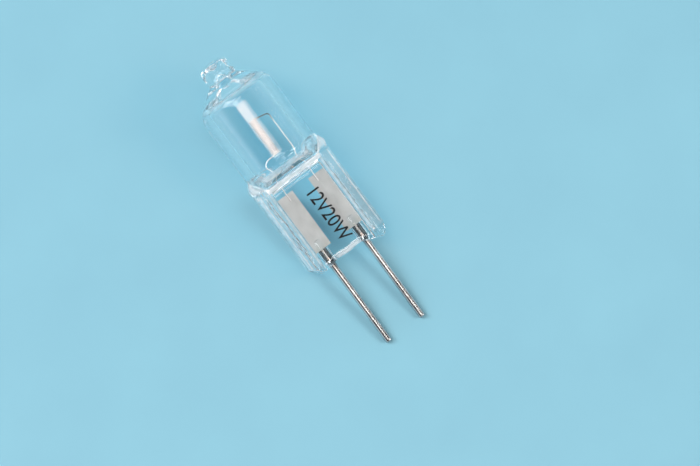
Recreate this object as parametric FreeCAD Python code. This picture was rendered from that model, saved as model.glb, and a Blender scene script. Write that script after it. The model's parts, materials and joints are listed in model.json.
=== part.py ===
import FreeCAD, Part

import math
import os

from FreeCAD import Matrix, Vector

os.makedirs("parts", exist_ok=True)

# A clear quartz capsule bulb with two bare pins, 12 V class. All lengths are in millimetres.
# The bulb is drawn standing: Z runs up its axis from the mouth of the pinch, X runs across the
# two pins, and the front of the pinch looks to -Y. The last section lays it down on a table.

# Pins
pin_spacing = 4.0
pin_diameter = 0.70
pin_free_length = 9.0
pin_tip_chamfer = 0.08
pin_round_depth = 0.1
pin_press_length = 0.6
pin_flat_width = 0.95
pin_flat_thickness = 0.40
pin_flat_edge_radius = 0.12
pin_seat_depth = 2.9
pin_glass_clearance = 0.04

# Pinch: a web between two thicker rails
pinch_width = 8.6
pinch_thickness = 3.4
pinch_height = 9.2
pinch_corner_radius = 0.7
pinch_foot_radius = 0.8
rail_land = 0.15
web_depth = 0.6
web_wall_run = 0.6
web_corner_radius = 0.9
web_edge_radius = 0.2
web_crest = 0.12
mouth_arch_rise = 0.45

# Shoulder: the pinched tube flares into two ears above the rails
shoulder_height = 2.3
shoulder_steps = 6
ear_flare = 0.29

# Bulb, dome and the melted exhaust tip
bulb_diameter = 8.0
bulb_wall = 1.0
bulb_length = 6.3
dome_turn = 52.0
dome_outer_radius = 2.0
dome_inner_radius = 1.0
dome_wall = 1.3
tip_diameter = 3.1
tip_side = 0.35
exhaust_bore = 1.5
exhaust_bore_length = 1.0

# Floor of the sealed space, where the tube was squeezed to a slot
floor_rise = 1.0
floor_inset = 0.4
floor_slot = 0.5
funnel_height = 1.9
funnel_steps = 4

# Foils
foil_width = 1.8
foil_length = 6.25
foil_thickness = 0.03
foil_feather = 0.3
foil_edge_thickness = 0.008
foil_inset = 0.15
foil_lap = 0.95

# Filament: one wire, an axial coil and two legs
wire_diameter = 0.11
wire_sides = 6
coil_diameter = 0.85
coil_length = 3.9
coil_turns = 22
coil_steps = 12
coil_rise = 1.75
leg_inset = 0.2
leg_lap = 0.75
leg_weld_sink = 0.01
upper_leg_droop = 0.3
upper_leg_bend = 0.4
lower_leg_droop = 0.1
lower_leg_bend = 0.8
leg_bend_steps = 4

# Levels up the axis
shoulder_top = pinch_height + shoulder_height
dome_start = shoulder_top + bulb_length
floor_level = pinch_height + floor_rise
coil_bottom = floor_level + coil_rise
coil_top = coil_bottom + coil_length
foil_bottom = pin_seat_depth - foil_lap
foil_top = foil_bottom + foil_length
leg_end = foil_top - leg_lap

# Planes through the weld, from the back of the foil to the front of the legs
foil_plane = -(pin_flat_thickness + foil_thickness) / 2
leg_plane = foil_plane - (foil_thickness + wire_diameter) / 2 + leg_weld_sink

# Half sizes used in several places
bulb_radius = bulb_diameter / 2
bore_radius = bulb_radius - bulb_wall
pin_radius = pin_diameter / 2
rail_width = pinch_corner_radius + rail_land + web_wall_run
web_half_width = pinch_width / 2 - rail_width
web_half_thickness = pinch_thickness / 2 - web_depth
foil_offset = pin_spacing / 2 - foil_inset
leg_offset = foil_offset - leg_inset

# How far a cutting solid runs past the face that it cuts through
cut_margin = 0.05

# How finely the shoulder is searched for the line where it rests
shoulder_rest_samples = 200


# Outline helpers: points and arcs in the XZ plane, and closed sections across the axis


def radial_point(radius, height):
    return Vector(radius, 0, height)


def radial_arc(centre, radius, start_deg, end_deg):
    """An arc in the XZ plane, its angles measured from +X towards +Z."""

    def at(angle_deg):
        angle = math.radians(angle_deg)
        return centre + Vector(radius * math.cos(angle), 0, radius * math.sin(angle))

    return Part.Arc(at(start_deg), at((start_deg + end_deg) / 2), at(end_deg))


def chain_face(pieces):
    """A face inside a chain of points and arcs: neighbours are joined by straight lines."""
    edges = []
    ends = [(p, p) if isinstance(p, Vector) else (p.StartPoint, p.EndPoint) for p in pieces]
    for i, piece in enumerate(pieces):
        if not isinstance(piece, Vector):
            edges.append(piece.toShape())
        next_start = ends[(i + 1) % len(pieces)][0]
        if ends[i][1].distanceToPoint(next_start) > 1e-7:
            edges.append(Part.LineSegment(ends[i][1], next_start).toShape())
    return Part.Face(Part.Wire(edges))


def rounded_outline(width, depth, corner):
    """Sixteen points round a rounded rectangle: where its edges end, and the middle of each edge."""
    corner = min(corner, 0.48 * width, 0.48 * depth)
    cut = corner * (1 - math.sqrt(0.5))
    x, y = width / 2, depth / 2
    right = [(x, y - corner), (x - cut, y - cut), (x - corner, y), (0, y)]
    left = [(corner - x, y), (cut - x, y - cut), (-x, y - corner), (-x, 0)]
    return right + left + [(-px, -py) for px, py in right + left]


def circle_outline(radius, outline):
    """The points of a circle that have the same bearings as those of another outline."""
    return [(radius * x / math.hypot(x, y), radius * y / math.hypot(x, y)) for x, y in outline]


def blend(start, end, share):
    """An outline that lies a share of the way from one outline to another."""
    return [(x + (u - x) * share, y + (v - y) * share) for (x, y), (u, v) in zip(start, end)]


def section(outline, height):
    """A closed wire across the axis through an outline's points, two points to an edge."""
    points = [Vector(x, y, height) for x, y in outline]
    edges = []
    for i in range(0, len(points), 2):
        start, middle, end = (points[(i + k) % len(points)] for k in range(3))
        if middle.distanceToLine(start, end - start) < 1e-7:
            edges.append(Part.LineSegment(start, end).toShape())
        else:
            edges.append(Part.Arc(start, middle, end).toShape())
    return Part.Wire(edges)


# Quartz envelope


def dome_cone_start():
    """Where the dome's rounded edge runs into its straight slope, on the outside."""
    centre = radial_point(bulb_radius - dome_outer_radius, dome_start)
    return radial_arc(centre, dome_outer_radius, 0, dome_turn).EndPoint


def bulb_body():
    """Tube, dome and tip as one turned form, without the space inside."""
    tip_radius = tip_diameter / 2
    cone_start = dome_cone_start()
    cone_rise = (cone_start.x - tip_radius) / math.tan(math.radians(dome_turn))
    tip_neck = radial_point(tip_radius, cone_start.z + cone_rise)
    edge_centre = radial_point(bulb_radius - dome_outer_radius, dome_start)
    crown_centre = radial_point(0, tip_neck.z + tip_side)
    outline = chain_face(
        [
            radial_point(0, shoulder_top),
            radial_point(bulb_radius, shoulder_top),
            radial_arc(edge_centre, dome_outer_radius, 0, dome_turn),
            tip_neck,
            radial_arc(crown_centre, tip_radius, 0, 90),
        ]
    )
    return outline.revolve(Vector(0, 0, 0), Vector(0, 0, 1), 360)


def sealed_space():
    """The space around the filament: a slot at its floor, the bore, and the sealed exhaust bore."""
    turn = math.radians(dome_turn)
    funnel_top = floor_level + funnel_height
    cone_start = dome_cone_start()
    inner_cone_radius = bore_radius - dome_inner_radius * (1 - math.cos(turn))
    cone_drop = (dome_wall - (cone_start.x - inner_cone_radius) * math.cos(turn)) / math.sin(turn)
    edge_level = cone_start.z - cone_drop - dome_inner_radius * math.sin(turn)
    bore_mouth = cone_start.z - cone_drop + (inner_cone_radius - exhaust_bore / 2) / math.tan(turn)
    bore_end = bore_mouth + exhaust_bore_length
    outline = chain_face(
        [
            radial_point(0, funnel_top),
            radial_point(bore_radius, funnel_top),
            radial_point(bore_radius, edge_level),
            radial_point(inner_cone_radius, cone_start.z - cone_drop),
            radial_point(exhaust_bore / 2, bore_mouth),
            radial_point(exhaust_bore / 2, bore_end),
            radial_point(0, bore_end),
        ]
    )
    upper = outline.revolve(Vector(0, 0, 0), Vector(0, 0, 1), 360)

    slot = rounded_outline(2 * (bore_radius - floor_inset), floor_slot, floor_slot)
    bore = circle_outline(bore_radius, slot)
    sections = []
    for i in range(funnel_steps + 1):
        share = i / funnel_steps
        opened = blend(slot, bore, math.sin(math.pi / 2 * share))
        sections.append(section(opened, floor_level + funnel_height * share))
    return upper.fuse(Part.makeLoft(sections, True, True))


def shoulder_ease(share):
    """How round the shoulder is at a share of the way from the pinch to the tube."""
    return (1 - math.cos(math.pi * share)) / 2


def shoulder():
    """The glass that flows from the flat pinch to the round tube, widest at the ears."""
    pinch = rounded_outline(pinch_width, pinch_thickness, pinch_corner_radius)
    tube = circle_outline(bulb_radius, pinch)
    sections = []
    for i in range(shoulder_steps + 1):
        share = i / shoulder_steps
        spread = 1 + 2 * ear_flare / pinch_width * math.sin(math.pi * share) ** 2
        outline = [(x * spread, y) for x, y in blend(pinch, tube, shoulder_ease(share))]
        sections.append(section(outline, pinch_height + shoulder_height * share))
    return Part.makeLoft(sections, True)


def pinch_block():
    """The pinch with full rails: rounded feet, and a mouth that arches up between them."""
    outline = rounded_outline(pinch_width, pinch_thickness, pinch_corner_radius)
    bar = Part.Face(section(outline, 0)).extrude(Vector(0, 0, pinch_height))

    half = pinch_width / 2
    foot_radius = min(pinch_foot_radius, 0.9 * rail_width)
    foot = half - foot_radius
    right_foot = radial_arc(radial_point(foot, foot_radius), foot_radius, 0, -90)
    left_foot = radial_arc(radial_point(-foot, foot_radius), foot_radius, 270, 180)
    mouth = Part.Arc(
        radial_point(web_half_width, 0),
        radial_point(0, mouth_arch_rise),
        radial_point(-web_half_width, 0),
    )
    top_right = radial_point(half, pinch_height)
    top_left = radial_point(-half, pinch_height)
    front = chain_face([top_right, right_foot, mouth, left_foot, top_left])
    front.translate(Vector(0, -pinch_thickness, 0))
    return bar.common(front.extrude(Vector(0, 2 * pinch_thickness, 0)))


def web_outline(spread, depth):
    """The web's outline grown by spread, drawn on the plane Y = -depth, open past the mouth."""
    half = web_half_width + spread
    corner = web_corner_radius + spread
    top = pinch_height - web_crest - web_wall_run + spread
    right = radial_arc(radial_point(half - corner, top - corner), corner, 0, 90)
    left = radial_arc(radial_point(-half + corner, top - corner), corner, 90, 180)
    bottom_left = radial_point(-half, -cut_margin)
    bottom_right = radial_point(half, -cut_margin)
    wire = chain_face([bottom_right, right, left, bottom_left]).OuterWire
    wire.translate(Vector(0, -depth, 0))
    return wire


def web_pocket():
    """What the pinching jaws pressed out of the front: a flat floor with sloping walls."""
    past = 1 + cut_margin / web_depth
    floor = web_outline(0, web_half_thickness)
    opening = web_outline(web_wall_run * past, web_half_thickness + web_depth * past)
    return Part.makeLoft([floor, opening], True, True)


def web_rim_radius():
    """The round of the web's rim, limited by the crest and by the flat tops of the rails."""
    wall_angle = math.atan2(web_depth, web_wall_run)
    limit = 0.9 * min(web_crest, rail_land) / math.tan(wall_angle / 2)
    return min(web_edge_radius, limit)


def pressed_pinch():
    """The pinch with its web pressed in from the front and the back, the rim melted round."""
    front = web_pocket()
    back = front.mirror(Vector(0, 0, 0), Vector(0, 1, 0))
    solid = pinch_block().cut([front, back])
    rim_half_width = web_half_width + web_wall_run + 1e-3
    rim = []
    for edge in solid.Edges:
        box = edge.BoundBox
        on_face = box.YLength < 1e-6 and abs(abs(box.Center.y) - pinch_thickness / 2) < 1e-6
        inside = max(-box.XMin, box.XMax) < rim_half_width and box.ZMax < pinch_height - 1e-6
        if on_face and inside:
            rim.append(edge)
    return solid.makeFillet(web_rim_radius(), rim)


def quartz_envelope(sealed_pieces):
    solid = bulb_body().fuse([shoulder(), pressed_pinch()])
    return solid.cut(sealed_space()).cut(sealed_pieces).removeSplitter()


# Pins, foils and filament


def pin(side):
    """A round pin whose inner end is pressed flat for the weld to its foil."""
    flat_start = pin_round_depth + pin_press_length
    flat_outline = rounded_outline(pin_flat_width, pin_flat_thickness, pin_flat_edge_radius)
    flat_section = section(flat_outline, flat_start)
    round_section = section(circle_outline(pin_radius, flat_outline), pin_round_depth)

    chamfer_top = pin_tip_chamfer - pin_free_length
    tip_end = Vector(0, 0, -pin_free_length)
    tip = Part.makeCone(pin_radius - pin_tip_chamfer, pin_radius, pin_tip_chamfer, tip_end)
    shank = Part.makeCylinder(pin_radius, pin_round_depth - chamfer_top, Vector(0, 0, chamfer_top))
    press = Part.makeLoft([round_section, flat_section], True, True)
    flat = Part.Face(flat_section).extrude(Vector(0, 0, pin_seat_depth - flat_start))
    solid = tip.fuse([shank, press, flat]).removeSplitter()
    solid.translate(Vector(side * pin_spacing / 2, 0, 0))
    return solid


def pin_hole(side):
    """The space that the glass leaves round the inner end of a pin, open at the mouth."""
    width = max(pin_flat_width, pin_diameter) + 2 * pin_glass_clearance
    depth = max(pin_flat_thickness, pin_diameter) + 2 * pin_glass_clearance
    outline = rounded_outline(width, depth, pin_radius)
    length = pin_seat_depth + pin_glass_clearance + cut_margin
    solid = Part.Face(section(outline, -cut_margin)).extrude(Vector(0, 0, length))
    solid.translate(Vector(side * pin_spacing / 2, 0, 0))
    return solid


def foil(side):
    """A foil whose long edges are feathered so that the glass can seal onto them."""
    half = foil_width / 2
    flat_half = half - foil_feather
    edge = foil_edge_thickness / 2
    face = foil_thickness / 2
    quarter = [(half, edge), (flat_half, face)]
    upper = quarter + [(-px, py) for px, py in reversed(quarter)]
    outline = upper + [(-px, -py) for px, py in upper]
    points = [
        Vector(px + side * foil_offset, py + foil_plane, foil_bottom) for px, py in outline
    ]
    return Part.Face(Part.makePolygon(points + points[:1])).extrude(Vector(0, 0, foil_length))


def wire_section(centre, along, outward):
    """The wire's outline across its run, turned so that the outline's first axis is outward."""
    sideways = along.cross(outward).normalize()
    outward = sideways.cross(along).normalize()
    points = []
    for i in range(wire_sides):
        angle = 2 * math.pi * (i + 0.5) / wire_sides
        across = outward * math.cos(angle) + sideways * math.sin(angle)
        points.append(centre + across * (wire_diameter / 2))
    return points


def wire_run(sections):
    """A solid run of wire: flat-sided skin from each section to the next, and two ends."""
    faces = []
    for end in (sections[0], sections[-1]):
        faces.append(Part.Face(Part.makePolygon(end + end[:1])))
    for near, far in zip(sections, sections[1:]):
        for i in range(wire_sides):
            j = (i + 1) % wire_sides
            near_edge = Part.LineSegment(near[i], near[j]).toShape()
            far_edge = Part.LineSegment(far[i], far[j]).toShape()
            faces.append(Part.makeRuledSurface(near_edge, far_edge))
    skin = Part.makeShell(faces)
    skin.sewShape()
    solid = Part.makeSolid(skin)
    if solid.Volume < 0:
        solid.reverse()
    return solid


def leg_sections(side, coil_end, droop, bend):
    """Sections of a leg from its bend near the coil, down onto the foil on its own side."""
    start = Vector(0, leg_plane, coil_end)
    corner = Vector(side * leg_offset, leg_plane, coil_end - droop)
    end = Vector(corner.x, leg_plane, leg_end)
    sideways = (corner - start).normalize()
    downward = (end - corner).normalize()
    turn = sideways.getAngle(downward)
    setback = bend * math.tan(turn / 2)
    bend_start = corner - sideways * setback
    inward = sideways.cross(downward).cross(sideways).normalize()
    bend_centre = bend_start + inward * bend
    front = Vector(0, -1, 0)
    sections = []
    for i in range(leg_bend_steps + 1):
        angle = turn * i / leg_bend_steps
        from_centre = (bend_start - bend_centre) * math.cos(angle)
        point = bend_centre + from_centre + sideways * (bend * math.sin(angle))
        along = sideways * math.cos(angle) + (bend_centre - bend_start) * (math.sin(angle) / bend)
        sections.append(wire_section(point, along * side, front))
    sections.append(wire_section(end, downward * side, front))
    return sections


def coil_sections():
    """Sections of the helix from its lower to its upper end, both of which lie at the front."""
    radius = (coil_diameter - wire_diameter) / 2
    axis = Vector(0, leg_plane + radius, coil_bottom)
    pitch = coil_length / coil_turns
    sections = []
    for i in range(coil_turns * coil_steps + 1):
        turned = i / coil_steps
        angle = 2 * math.pi * turned - math.pi / 2
        outward = Vector(math.cos(angle), math.sin(angle), 0)
        forward = Vector(-math.sin(angle), math.cos(angle), 0)
        along = forward * (2 * math.pi * radius) + Vector(0, 0, pitch)
        point = axis + outward * radius + Vector(0, 0, pitch * turned)
        sections.append(wire_section(point, along.normalize(), outward))
    return sections


# Laying the bulb down


def rest_tilt():
    """The slope of the axis when the pin tips and the glass behind them lie on a table."""
    tip_level = pin_tip_chamfer - pin_free_length
    supports = [(pinch_thickness, 0)]
    for i in range(shoulder_rest_samples + 1):
        share = i / shoulder_rest_samples
        depth = pinch_thickness + (bulb_diameter - pinch_thickness) * shoulder_ease(share)
        supports.append((depth, pinch_height + shoulder_height * share))
    return max(math.atan2(depth / 2 - pin_radius, level - tip_level) for depth, level in supports)


def lie_down(shapes):
    """Turn the pins to +X and the front up, and put the origin below the middle of the whole."""
    tilt = rest_tilt()
    axis = Vector(-math.cos(tilt), 0, math.sin(tilt))
    back = Vector(-math.sin(tilt), 0, -math.cos(tilt))
    across = Vector(0, 1, 0)
    turn = Matrix()
    turn.setCol(0, across)
    turn.setCol(1, back)
    turn.setCol(2, axis)
    laid = {name: shape.transformed(turn) for name, shape in shapes.items()}
    box = Part.makeCompound(list(laid.values())).optimalBoundingBox(False, False)
    middle = box.Center
    for shape in laid.values():
        shape.translate(Vector(-middle.x, -middle.y, -box.ZMin))
    return laid


upper_leg = leg_sections(1, coil_top, upper_leg_droop, upper_leg_bend)
lower_leg = leg_sections(-1, coil_bottom, lower_leg_droop, lower_leg_bend)
left_foil_leg = wire_run(lower_leg[-2:])
right_foil_leg = wire_run(upper_leg[-2:])
pieces = {
    "left_pin": pin(-1),
    "right_pin": pin(1),
    "left_foil": foil(-1).cut(left_foil_leg),
    "right_foil": foil(1).cut(right_foil_leg),
    "filament": wire_run(lower_leg[::-1] + coil_sections() + upper_leg),
}
sealed = [pin_hole(-1), pin_hole(1), foil(-1), foil(1), left_foil_leg, right_foil_leg]
pieces["quartz_envelope"] = quartz_envelope(sealed)

print("axis slopes by", round(math.degrees(rest_tilt()), 3), "degrees")
for name, shape in lie_down(pieces).items():
    print(name, len(shape.Solids), "solid", round(shape.Volume, 4), "mm3, valid", shape.isValid())
    shape.exportStep(f"parts/{name}.step")
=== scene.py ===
"""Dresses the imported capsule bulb: clear quartz, coiled wire, foils and pins under soft light."""

import json
import logging
import math
from collections.abc import Callable, Sequence
from dataclasses import dataclass
from enum import Enum, auto

import bmesh
import bpy
from mathutils import Matrix, Vector, noise


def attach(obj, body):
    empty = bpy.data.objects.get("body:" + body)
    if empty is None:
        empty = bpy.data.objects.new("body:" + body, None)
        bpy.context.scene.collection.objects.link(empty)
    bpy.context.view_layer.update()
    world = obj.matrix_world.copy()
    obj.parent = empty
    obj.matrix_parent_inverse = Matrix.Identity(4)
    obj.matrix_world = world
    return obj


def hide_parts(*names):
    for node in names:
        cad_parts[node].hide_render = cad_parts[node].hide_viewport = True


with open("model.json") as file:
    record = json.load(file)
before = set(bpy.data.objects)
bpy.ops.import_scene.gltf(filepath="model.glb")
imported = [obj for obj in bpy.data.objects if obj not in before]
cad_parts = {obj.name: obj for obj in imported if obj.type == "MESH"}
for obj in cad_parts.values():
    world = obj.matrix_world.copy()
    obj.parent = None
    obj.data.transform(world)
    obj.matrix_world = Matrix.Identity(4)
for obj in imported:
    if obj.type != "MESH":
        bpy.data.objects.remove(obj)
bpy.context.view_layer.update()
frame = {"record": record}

log = logging.getLogger("capsule_bulb")

Point = tuple[float, float]
Triple = tuple[float, float, float]
Ring = list[Vector]

BODY = "root"
STAIN = "stain"
# Note of where the glass turns white as a painted highlight, in place of bright refracted lines
PAINTED_GLINT = "painted_glint"
MILLIMETRE = 0.001

UPWARD = Vector((0.0, 0.0, 1.0))
BULB_LENGTH = Vector((1.0, 0.0, 0.0))

# The axis of the laid bulb slopes in the XZ plane, so a pattern that runs along it is turned first
AXIS_SLOPE_DEGREES = 10.155
ALONG_AXIS = (0.0, math.radians(-AXIS_SLOPE_DEGREES), 0.0)
UNTURNED = (0.0, 0.0, 0.0)

# The range that most values of a noise lie in
NOISE_LOW = 0.3
NOISE_HIGH = 0.7

# How far past its two ends a soft ramp is worked out, as a share of the ramp
RAMP_OVERRUN = 2.0


class Side(Enum):
    """The two sides of the bulb as the standing bulb shows them from the front."""

    LEFT = -1
    RIGHT = 1

    def node(self, kind: str) -> str:
        """Name of the CAD node of a kind on this side."""
        return f"{self.name.lower()}_{kind}"


class Slot(Enum):
    """The record's material slots."""

    QUARTZ = "quartz"
    TUNGSTEN = "tungsten"
    FOIL = "foil"
    PIN = "pin"


# Drawing helpers: all sizes below are millimetres on the standing bulb


def clamped(share: float) -> float:
    """A share kept between 0 and 1."""
    return min(1.0, max(0.0, share))


def eased(share: float) -> float:
    """A share that starts and ends slowly."""
    return (1 - math.cos(math.pi * share)) / 2


def spread(start: float, end: float, steps: int) -> list[float]:
    """Evenly spaced values from start up to, and without, end.

    Args:
        start: First value.
        end: Value that the steps lead to.
        steps: Number of values.

    Returns:
        The values in order.
    """
    return [start + (end - start) * i / steps for i in range(steps)]


def ellipse(half_width: float, half_depth: float, count: int) -> list[Point]:
    """Points of an ellipse round the axis, turning from +X to +Y.

    Args:
        half_width: Half its size along X.
        half_depth: Half its size along Y.
        count: Number of points.

    Returns:
        The points.
    """
    angles = spread(0.0, 2 * math.pi, count)
    return [(half_width * math.cos(angle), half_depth * math.sin(angle)) for angle in angles]


def soft_bend(place: float, softness: float) -> float:
    """A line that is level before 0 and rises after it, with a rounded bend."""
    return softness * math.log1p(math.exp(place / softness))


def soft_ramp(share: float, softness: float) -> float:
    """A ramp from 0 to 1 whose two bends are rounded.

    Args:
        share: Place on the ramp, from 0 at its foot to 1 at its head.
        softness: How far the rounding reaches, as a share of the ramp.

    Returns:
        Height on the ramp.
    """
    share = max(-RAMP_OVERRUN, min(1 + RAMP_OVERRUN, share))
    return soft_bend(share, softness) - soft_bend(share - 1, softness)


def smooth_curve(knots: Sequence[Point], place: float) -> float:
    """Height of a smooth curve through knots.

    Args:
        knots: Place and height of each knot, by rising place.
        place: Where the curve is read; it stays level past its ends.

    Returns:
        Height there.
    """
    if place <= knots[0][0] or place >= knots[-1][0]:
        return knots[0][1] if place <= knots[0][0] else knots[-1][1]
    i = next(k for k in range(len(knots) - 1) if place < knots[k + 1][0])
    before, start, end, after = (knots[max(0, min(len(knots) - 1, k))] for k in range(i - 1, i + 3))
    run = end[0] - start[0]
    share = (place - start[0]) / run
    slope_in = (end[1] - before[1]) / (end[0] - before[0]) * run
    slope_out = (after[1] - start[1]) / (after[0] - start[0]) * run
    square, cube = share**2, share**3
    return (
        start[1] * (2 * cube - 3 * square + 1)
        + slope_in * (cube - 2 * square + share)
        + end[1] * (3 * square - 2 * cube)
        + slope_out * (cube - square)
    )


def rounded_profile(corners: Sequence[Triple], steps: int) -> list[Point]:
    """Points along a profile whose inner corners are rounded.

    Args:
        corners: Radius from the axis, height and rounding of each corner in turn.
        steps: Number of points on each rounding.

    Returns:
        Radius and height of each point.
    """
    points = [(corners[0][0], corners[0][1])]
    for before, corner, after in zip(corners, corners[1:], corners[2:]):
        middle = Vector(corner[:2])
        back = (Vector(before[:2]) - middle).normalized()
        ahead = (Vector(after[:2]) - middle).normalized()
        half = back.angle(ahead) / 2
        reach = corner[2] / math.tan(half)
        centre = middle + (back + ahead).normalized() * (corner[2] / math.sin(half))
        first = (middle + back * reach - centre).normalized()
        last = (middle + ahead * reach - centre).normalized()
        for i in range(steps + 1):
            points.append(tuple(centre + first.slerp(last, i / steps) * corner[2]))
    points.append((corners[-1][0], corners[-1][1]))
    return points


def fill_in(points: Sequence[Point], longest: float) -> list[Point]:
    """Add points to a profile until no run is longer than a limit.

    Args:
        points: Radius and height of the profile's points.
        longest: Longest run that stays undivided.

    Returns:
        The finer profile.
    """
    filled = [points[0]]
    for start, end in zip(points, points[1:]):
        cuts = max(1, math.ceil(math.dist(start, end) / longest))
        for i in range(1, cuts + 1):
            share = i / cuts
            filled.append(tuple(a + (b - a) * share for a, b in zip(start, end)))
    return filled


class Bench:
    """The modelling steps that the pieces share."""

    def __init__(self, record: dict) -> None:
        """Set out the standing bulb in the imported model's frame.

        Args:
            record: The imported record, whose two mounts are the pins at the mouth.
        """
        places = [Vector(mount["pos_m"]) for mount in record["mounts"]]
        mouth = (places[0] + places[1]) / 2
        across = (places[1] - places[0]).normalized()
        upward = -Vector(record["mounts"][0]["axis"]).normalized()
        turn = Matrix((across, upward.cross(across), upward)).transposed()
        self.standing = Matrix.Translation(mouth) @ turn.to_4x4() @ Matrix.Scale(MILLIMETRE, 4)

    @staticmethod
    def clear() -> None:
        """Leave edit mode with nothing selected."""
        if bpy.context.mode != "OBJECT":
            bpy.ops.object.mode_set(mode="OBJECT")
        bpy.ops.object.select_all(action="DESELECT")

    @staticmethod
    def take(*pieces: bpy.types.Object) -> None:
        """Select these pieces alone, the first one active.

        Args:
            pieces: What to select.
        """
        Bench.clear()
        for piece in pieces:
            piece.select_set(True)
        bpy.context.view_layer.objects.active = pieces[0]

    @staticmethod
    def above(vertex: bmesh.types.BMVert) -> bmesh.types.BMVert:
        """The selected vertex that an extrusion made from this one."""
        ends = (edge.other_vert(vertex) for edge in vertex.link_edges)
        return next(end for end in ends if end.select)

    @staticmethod
    def loft(name: str, rings: Sequence[Ring], start_web: bool, end_pole: bool) -> bpy.types.Object:
        """Extrude a circle through a row of rings.

        Args:
            name: Name of the piece.
            rings: Places of the vertices, ring by ring, with the same number in each.
            start_web: Close the first ring by strips from its one half to the other.
            end_pole: Close the last ring to a point, or else by one face.

        Returns:
            The closed piece, in object mode.
        """
        Bench.clear()
        bpy.ops.mesh.primitive_circle_add(vertices=len(rings[0]), enter_editmode=True)
        piece = bpy.context.object
        piece.name = name
        first = row = list(bmesh.from_edit_mesh(piece.data).verts)
        for i, ring in enumerate(rings):
            if i:
                bpy.ops.mesh.extrude_region_move()
                row = [Bench.above(vertex) for vertex in row]
            for vertex, place in zip(row, ring):
                vertex.co = place
        if end_pole:
            bpy.ops.mesh.merge(type="CENTER")
        else:
            bpy.ops.mesh.edge_face_add()
        mesh = bmesh.from_edit_mesh(piece.data)
        count = len(first)
        half = count // 2
        if start_web:
            mesh.faces.new((first[0], first[1], first[-1]))
            for i in range(1, half - 1):
                mesh.faces.new((first[i], first[i + 1], first[count - i - 1], first[count - i]))
            mesh.faces.new((first[half - 1], first[half], first[half + 1]))
        else:
            mesh.faces.new(first)
        bmesh.update_edit_mesh(piece.data)
        bpy.ops.object.mode_set(mode="OBJECT")
        Bench.face_outward(piece)
        return piece

    @staticmethod
    def face_outward(piece: bpy.types.Object) -> None:
        """Turn every face of a closed piece outward.

        Args:
            piece: The piece, which ends in object mode.
        """
        Bench.take(piece)
        bpy.ops.object.mode_set(mode="EDIT")
        bpy.ops.mesh.select_all(action="SELECT")
        bpy.ops.mesh.normals_make_consistent(inside=False)
        bpy.ops.object.mode_set(mode="OBJECT")

    @staticmethod
    def apply(piece: bpy.types.Object, kind: str, **settings: object) -> None:
        """Add a modifier to a piece and apply it.

        Args:
            piece: The piece.
            kind: Blender's name of the modifier.
            settings: The modifier's settings.
        """
        Bench.take(piece)
        modifier = piece.modifiers.new(kind.lower(), kind)
        for key, value in settings.items():
            setattr(modifier, key, value)
        bpy.ops.object.modifier_apply(modifier=modifier.name)

    @staticmethod
    def join(keeper: bpy.types.Object, *others: bpy.types.Object) -> None:
        """Join pieces into the first one.

        Args:
            keeper: The piece that the others become part of.
            others: Pieces that end.
        """
        Bench.take(keeper, *others)
        bpy.ops.object.join()

    @staticmethod
    def stain(piece: bpy.types.Object, rule: Callable[[Vector], float], name: str = STAIN) -> None:
        """Note on a standing piece where it is stained, rippled, darkened, or painted white as a highlight.

        Args:
            piece: The piece.
            rule: Share of the mark at a place on it, which is kept between 0 and 1.
            name: Name of the note.
        """
        layer = piece.data.attributes.new(name, "FLOAT", "POINT")
        for vertex in piece.data.vertices:
            layer.data[vertex.index].value = clamped(rule(vertex.co))

    def finish(
        self,
        piece: bpy.types.Object,
        material: bpy.types.Material,
        slot: Slot | None,
        node: str | None,
        sharp_degrees: float,
    ) -> None:
        """Lay a standing piece down, shade it, dress it and put it on its body.

        Args:
            piece: The finished mesh, still standing and in millimetres.
            material: Its finish.
            slot: Record slot of that finish, if there is one; not used.
            node: CAD node that the piece stands for, if there is one.
            sharp_degrees: Edges that bend by more than this stay sharp.
        """
        self.take(piece)
        piece.data.transform(self.standing)
        bpy.ops.object.shade_smooth_by_angle(angle=math.radians(sharp_degrees))
        piece.data.materials.clear()
        piece.data.materials.append(material)
        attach(piece, BODY)
        if node:
            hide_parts(node)
        log.info("%s: %d faces", piece.name, len(piece.data.polygons))


# Finishes


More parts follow.
